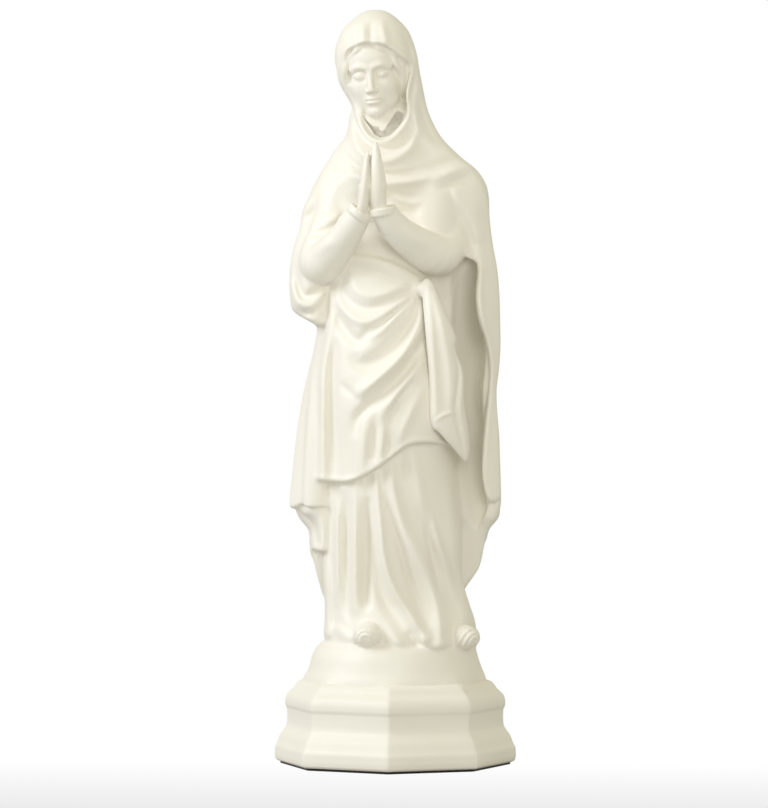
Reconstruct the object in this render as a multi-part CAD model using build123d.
"""Praying madonna statue: a hollow ceramic figure in a veil and cloak, on an octagonal plinth.

It is made as such figures are cast: each section comes from its own plaster mould, and the
sections are joined with slip before firing.  Long seams have half-lap rims, the neck stands in a
socket between the shoulders and the wrists stand in the cuffs.  A felt sheet closes the underside.

Frame: millimetres, +Z up, origin at the middle of the felt's underside, one corner of the plinth
towards -Y.  The figure has its own frame, turned FIGURE_TURN about Z, where she faces -Y and her
left hand is at +X.
"""
import os

from build123d import *

# ---- driving dimensions -------------------------------------------------------------------
HEIGHT = 400.0            # underside of the felt to the top of the veil
FIGURE_TURN = 3.5       # degrees from the plinth's front corner to the way she faces
FELT = 1.3                # thickness of the felt sheet
FELT_INSET = 1.2          # how far the felt stands back from the plinth's foot
WALL = 5.0                # cast wall
CLOAK_WALL = 5.5
WRAP_FOLD = 6.0           # cloth of the wrap over the gown
RIM = 3.0                 # height of a half-lap rim
GAP = 0.3                 # clearance in a seat
PLINTH_TOP = 44.0
MOUND_TOP = 63.0
WAIST = 252.0
SHOULDER_TOP = 329.0

# Plinth moulding: (height, axis to corner).
PLINTH_PROFILE = [
    (FELT, 62.6), (3.0, 63.8), (6.0, 64.2), (10.0, 63.6), (13.0, 62.2), (17.0, 60.4),
    (20.5, 58.4), (23.5, 57.6), (27.0, 57.4), (29.5, 57.8), (31.0, 58.6), (35.0, 58.6),
    (38.0, 57.2), (40.5, 54.8), (PLINTH_TOP, 50.5),
]
VENT_RADIUS = 11.0        # drain hole in the plinth's floor, under the felt
DRAIN = (24.0, 22.0)      # half sizes of the way through the mound and the plinth's top

# Stacks of ellipses: (z, centre x, centre y, half width, half depth).
MOUND = [
    (PLINTH_TOP, 0, 0, 48.5, 47.5), (50, 0, 0, 46, 44.5), (57, 1, 0, 43.5, 42),
    (MOUND_TOP, 2.5, 0, 42, 40),
]
GOWN = [
    (MOUND_TOP, 3, -0.5, 39.5, 36), (75, 3, -0.5, 39, 35), (92, -0.3, 0, 37, 32),
    (120, -1, 0, 36.5, 32), (150, -3, 0, 36.5, 32), (180, -4, 0, 35.5, 31),
    (210, -5, 0, 33, 29), (235, -6.5, 0, 29, 26.5), (WAIST, -8, 0, 26.5, 24),
]
TORSO = [
    (WAIST, -8, 0, 26.5, 24), (270, -8.5, 0, 28, 23.5), (290, -7, 1, 32, 22.5),
    (308, -4, 2, 36, 21), (320, -3, 3, 33, 18), (SHOULDER_TOP, -6, 3, 23, 15),
]
TORSO_HOLLOW_TOP = 315.0
CLOAK = [
    (92, 0, 8, 38, 30), (110, 1.5, 7, 44.5, 32), (128, 1, 6, 51, 35), (138, 1, 5, 54.5, 37),
    (170, 2, 5, 52.5, 37), (200, 2.5, 5, 51, 36), (235, 3, 5, 51, 35.5), (262, 1.5, 5, 52, 34),
    (285, 0, 5, 49.5, 32), (305, 1, 5, 46.5, 28), (318, 1, 5, 40, 24), (327, 0, 6, 31, 19),
]
CASCADE = [
    (104, -39, 0, 4, 9), (118, -40.5, -3, 4.5, 11), (130, -43.5, -5, 6, 13), (138, -46.5, -6, 7, 14),
    (160, -44.5, -6, 6, 13), (195, -41, -5, 5.5, 12), (228, -37, -4, 4, 9),
]
ELBOW_FOLD = [
    (234, -44, -3, 5, 9), (240, -46, -5, 8, 13), (252, -46, -5, 8.5, 14), (268, -45, -3, 8.5, 12),
    (282, -42, -1, 6, 9),
]
DRAPE_END = [
    (158, 34.5, -32, 2.5, 2.5), (168, 31, -33, 6, 3.5), (185, 26.5, -34.5, 9.5, 4.5),
    (205, 23.5, -34.5, 9, 4.5), (235, 18.5, -33, 6.5, 4.5), (254, 14, -30, 3.5, 4),
]
HOOD = [
    (322, -3, 6, 35, 21), (330, -3, 6, 28, 20), (338, -4.5, 5, 23, 20), (350, -6.5, 3, 21, 22),
    (365, -8.5, 1, 21, 24), (380, -10, 1, 19.5, 23), (391, -11, 2, 14, 18), (397, -11.5, 3, 8, 10),
    (HEIGHT, -11.5, 3, 3, 3),
]
HEM_FRONT = 159.0         # height of the wrap's hem under her hands
HEM_SLOPE = 0.22          # rise of the hem towards her left

# Head and neck
HEAD_CENTRE = (-11.5, -3.0, 367.0)
HEAD_HALF = (14.5, 17.5, 22.0)
HEAD_TILT = -6.0          # degrees the crown leans to her right
JAW_HALF = (11.5, 12.0, 14.0)
NECK_RADIUS = 8.5
NECK_FOOT = (-8.0, 2.0, 318.0)
# Rolls of cloth round the neck: (drop below the chin's roll, ring radius, roll radius).
COWL_CENTRE = (-8.0, -1.0, 330.0)
COWL_ROLLS = [(0.0, 15.0, 6.0), (9.0, 20.0, 6.5), (18.0, 24.0, 6.5)]
COWL_TILT = 24.0

# Arms: (x, y, z, radius) at the shoulder, elbow and cuff.
RIGHT_ARM = [(-37, 0, 303, 11.0), (-40, -14, 264, 12.5), (-17.5, -43, 289, 7.0)]
LEFT_ARM = [(37, 0, 302, 11.0), (24, -19, 268, 12.0), (-6.5, -43, 290, 6.8)]
WRIST_RADIUS = 3.2
WRIST_SEAT = 0.25         # how far into the forearm the wrist goes, as a part of its length

# Hands: the palms meet on the plane x = PALM_X.
PALM_X = -12.6
PALM_GAP = 0.2
PALM_THICK = 5.6
PALM_BROAD = 12.5
HAND_Y = -47.5
HAND_FOOT_Z = 292.0
FINGER_TIP_Z = 323.0
# Sections of a hand: (part of its length, part of its thickness, part of its breadth).
HAND_SECTIONS = [(0, 0.9, 0.7), (0.26, 1.0, 1.0), (0.55, 0.92, 0.92), (0.84, 0.7, 0.62), (1, 0.35, 0.3)]

# Shoe tips under the hem: (x, y, z), (half width, half depth, half height), turn in degrees.
RIGHT_SHOE = ((-14.0, -37.0, 70.0), (9.0, 10.0, 7.5), -12)
LEFT_SHOE = ((35.0, -23.0, 70.0), (7.5, 9.0, 7.5), 50)

FAR = 200.0               # larger than the figure, for cutting blocks


# ---- helpers ------------------------------------------------------------------------------
def tower(levels, grow=0.0, ruled=False):
    """A solid through a stack of ellipses, each grown outward by grow; straight between them if ruled."""
    ellipses = [Pos(x, y, z) * Ellipse(rx + grow, ry + grow) for z, x, y, rx, ry in levels]
    return loft(ellipses, ruled=ruled)


def between(levels, low, high):
    """The levels from low to high."""
    return [level for level in levels if low <= level[0] <= high]


def rim(level):
    """Half-lap rim that stands on a casting, inside the wall of the casting above it."""
    z, x, y, rx, ry = level
    ring = Ellipse(rx - WALL / 2 - GAP, ry - WALL / 2 - GAP) - Ellipse(rx - WALL, ry - WALL)
    return Pos(x, y, z) * extrude(ring, RIM - GAP)


def rebate(level):
    """Room for that rim, cut from the foot of the casting above."""
    z, x, y, rx, ry = level
    return Pos(x, y, z) * extrude(Ellipse(rx - WALL / 2, ry - WALL / 2), RIM)


def largest(shape):
    """The largest solid of a shape."""
    return max(shape.solids(), key=lambda solid: solid.volume)


def cut(shape, others):
    """A shape with the other solids taken away, without crumbs."""
    for other in others:
        shape -= other
    return largest(shape)


def box_between(corner, opposite):
    """A block between two opposite corners."""
    size = [abs(b - a) for a, b in zip(corner, opposite)]
    middle = [(a + b) / 2 for a, b in zip(corner, opposite)]
    return Pos(*middle) * Box(*size)


def limb(joints):
    """Tapered bars between rounded joints, each joint (x, y, z, radius)."""
    whole = Pos(*joints[0][:3]) * Sphere(joints[0][3])
    for start, end in zip(joints, joints[1:]):
        foot, tip = Vector(*start[:3]), Vector(*end[:3])
        base = Plane(origin=foot, z_dir=tip - foot)
        whole += loft([base * Circle(start[3]), base.offset((tip - foot).length) * Circle(end[3])])
        whole += Pos(*end[:3]) * Sphere(end[3])
    return whole


# ---- plinth, felt and mound ---------------------------------------------------------------
def octagon(z, corner_radius):
    """A regular octagon with its corners on the X and Y axes and between them."""
    return Pos(0, 0, z) * RegularPolygon(corner_radius, 8)


def make_felt():
    return extrude(octagon(0, PLINTH_PROFILE[0][1] - FELT_INSET), FELT)


def make_plinth():
    body = loft([octagon(z, r) for z, r in PLINTH_PROFILE], ruled=True)
    inside = [(z, r - WALL) for z, r in PLINTH_PROFILE if FELT + WALL <= z <= PLINTH_TOP - WALL]
    body -= loft([octagon(z, r) for z, r in inside], ruled=True)
    body -= Pos(0, 0, FELT) * Cylinder(VENT_RADIUS, 3 * WALL)
    body -= Pos(0, 0, PLINTH_TOP) * extrude(Ellipse(*DRAIN), 2 * WALL, both=True)
    return body + rim(MOUND[0])


def make_mound():
    hollow = tower(MOUND[:-1] + [(MOUND_TOP - WALL, *MOUND[-1][1:])], -WALL)
    drain = Pos(0, 0, MOUND_TOP) * extrude(Ellipse(*DRAIN), 2 * WALL, both=True)
    return tower(MOUND) - hollow - drain - rebate(MOUND[0]) + rim(GOWN[0])


# ---- gown, torso, wrap and cloak ----------------------------------------------------------
def make_skirt():
    return tower(GOWN) - tower(GOWN, -WALL) - rebate(GOWN[0]) + rim(GOWN[-1])


def make_torso():
    hollow = tower(between(TORSO, WAIST, 308) + [(TORSO_HOLLOW_TOP, -3.5, 2.5, 34, 19)], -WALL)
    x, y, _ = NECK_FOOT
    socket = Pos(x, y, SHOULDER_TOP) * Cylinder(NECK_RADIUS + GAP, SHOULDER_TOP - TORSO_HOLLOW_TOP + 20)
    return tower(TORSO) - hollow - rebate(TORSO[0]) - socket


def make_wrap(gown):
    """Cloak cloth drawn across the front from her right hip, with a sloping hem."""
    shell = tower(between(GOWN, 120, WAIST), WRAP_FOLD) - gown
    hem = Plane(origin=(0, 0, HEM_FRONT), x_dir=(1, 0, HEM_SLOPE), z_dir=(-HEM_SLOPE, 0, 1))
    below_hem = extrude(hem * Rectangle(2 * FAR, 2 * FAR), -FAR)
    back = box_between((-FAR, 8, 0), (FAR, FAR, HEIGHT))
    her_left_side = box_between((26, -FAR, 0), (FAR, FAR, HEIGHT))
    return cut(shell, [below_hem, back, her_left_side])


def make_cloak(inside):
    """Back and sides of the cloak: open in front, and standing off her left side."""
    front = box_between((-FAR, -FAR, 0), (FAR, -9, HEIGHT))
    shell = tower(CLOAK) - tower(CLOAK[:-2], -CLOAK_WALL)
    return cut(shell - front, inside)


# ---- head, veil and hands -----------------------------------------------------------------
def on_head(shape):
    """Place a shape given about the middle of the upright head."""
    return Pos(*HEAD_CENTRE) * Rot(0, HEAD_TILT, 0) * shape


def make_head():
    """Head and neck.  The neck goes down into the socket between the shoulders."""
    skull = scale(Sphere(1), by=HEAD_HALF)
    jaw = Pos(0, -5, -9) * scale(Sphere(1), by=JAW_HALF)
    nose = Pos(0, -HEAD_HALF[1] - 0.5, -4) * Rot(-14, 0, 0) * Cone(2.4, 1.0, 11)
    foot = Vector(*NECK_FOOT)
    neck_axis = Plane(origin=foot, z_dir=Vector(*HEAD_CENTRE) - foot)
    neck = extrude(neck_axis * Circle(NECK_RADIUS), (Vector(*HEAD_CENTRE) - foot).length)
    return on_head(skull + jaw + nose) + neck


def make_hair(side, head):
    """Waved hair down one side of the face."""
    lock = [(side * 8, -15.5, 15.5, 3.2), (side * 13.5, -12, 6, 3.4), (side * 14.5, -8, -6, 3.0)]
    return cut(on_head(limb(lock)), [head])


def make_cowl(others):
    """Rolls of veil cloth round the neck and over the breast."""
    x, y, z = COWL_CENTRE
    rolls = None
    for drop, ring, roll in COWL_ROLLS:
        turn = Pos(x, y, z - drop) * Rot(COWL_TILT, 0, 0) * scale(Torus(ring, roll), by=(1.12, 0.92, 1.0))
        rolls = turn if rolls is None else rolls + turn
    return cut(rolls, others)


def make_hood(others):
    """Veil over the crown and down to the shoulders, open round the face."""
    opening = on_head(Pos(0, -22, -4) * scale(Sphere(1), by=(15.5, 24, 25)))
    return cut(tower(HOOD) - opening, others)


def wrist(side, arm, grow=0.0):
    """The wrist, from the heel of the hand back into the forearm."""
    cuff, elbow = Vector(*arm[-1][:3]), Vector(*arm[-2][:3])
    inner = cuff + (elbow - cuff) * WRIST_SEAT
    heel = (hand_x(side), HAND_Y + 1.5, HAND_FOOT_Z + 2, WRIST_RADIUS * 0.8 + grow)
    return limb([heel, (*cuff, WRIST_RADIUS + grow), (*inner, WRIST_RADIUS + grow)])


def hand_x(side):
    """Middle of a hand's thickness."""
    return PALM_X + side * (PALM_GAP + PALM_THICK) / 2


def make_hand(side, arm):
    """One hand held up, palm against the other, with its thumb behind the palm."""
    length = FINGER_TIP_Z - HAND_FOOT_Z
    x = hand_x(side)
    slab = loft([
        Pos(x, HAND_Y, HAND_FOOT_Z + part * length) * Ellipse(thick * PALM_THICK / 2, broad * PALM_BROAD / 2)
        for part, thick, broad in HAND_SECTIONS
    ])
    thumb_foot = (x, HAND_Y + 4.5, HAND_FOOT_Z + 0.2 * length, 2.0)
    thumb_tip = (x, HAND_Y + 7.5, HAND_FOOT_Z + 0.55 * length, 1.7)
    hand = slab + limb([thumb_foot, thumb_tip]) + wrist(side, arm)
    palm_side = box_between((PALM_X - side * PALM_GAP / 2 - side * FAR, -FAR, 0),
                            (PALM_X + side * PALM_GAP / 2, FAR, HEIGHT))
    return cut(hand, [palm_side])


def make_shoe(spec, others):
    place, half, turn = spec
    return cut(Pos(*place) * Rot(0, 0, turn) * scale(Sphere(1), by=half), others)


# ---- assembly -----------------------------------------------------------------------------
def make_figure():
    """Every node that turns with the figure; each is cut back by those made before it."""
    gown, torso = tower(GOWN), tower(TORSO)
    nodes = {"mound": make_mound(), "skirt": make_skirt(), "torso": make_torso()}
    nodes["cascade"] = cut(tower(CASCADE, ruled=True), [gown])
    nodes["wrap"] = cut(make_wrap(gown), [nodes["cascade"]])
    core = [gown, torso, nodes["cascade"], nodes["wrap"]]
    nodes["right_hand"] = make_hand(-1, RIGHT_ARM)
    nodes["left_hand"] = cut(make_hand(1, LEFT_ARM), [nodes["right_hand"]])
    hands = [nodes["right_hand"], nodes["left_hand"], wrist(-1, RIGHT_ARM, GAP), wrist(1, LEFT_ARM, GAP)]
    nodes["right_sleeve"] = cut(limb(RIGHT_ARM), core + hands)
    nodes["left_sleeve"] = cut(limb(LEFT_ARM), core + hands + [nodes["right_sleeve"]])
    arms = [nodes["right_sleeve"], nodes["left_sleeve"]]
    nodes["elbow_fold"] = cut(tower(ELBOW_FOLD), core + arms)
    nodes["cloak"] = make_cloak(core + arms + [nodes["elbow_fold"]])
    body = core + arms + [nodes["elbow_fold"], nodes["cloak"]]
    nodes["drape_end"] = cut(tower(DRAPE_END), body)
    nodes["head"] = cut(make_head(), [nodes["torso"]])
    nodes["right_hair"] = make_hair(-1, nodes["head"])
    nodes["left_hair"] = make_hair(1, nodes["head"])
    covered = body + [nodes["head"], nodes["right_hair"], nodes["left_hair"]]
    nodes["cowl"] = make_cowl(covered)
    nodes["hood"] = make_hood(covered + [nodes["cowl"]])
    nodes["right_shoe"] = make_shoe(RIGHT_SHOE, [gown, nodes["mound"]])
    nodes["left_shoe"] = make_shoe(LEFT_SHOE, [gown, nodes["mound"]])
    return nodes


def main():
    os.makedirs("parts", exist_ok=True)
    nodes = {name: Rot(0, 0, FIGURE_TURN) * solid for name, solid in make_figure().items()}
    nodes["plinth"] = make_plinth()
    nodes["felt"] = make_felt()
    for name, solid in nodes.items():
        export_step(solid, f"parts/{name}.step")


if __name__ == "__main__":
    main()
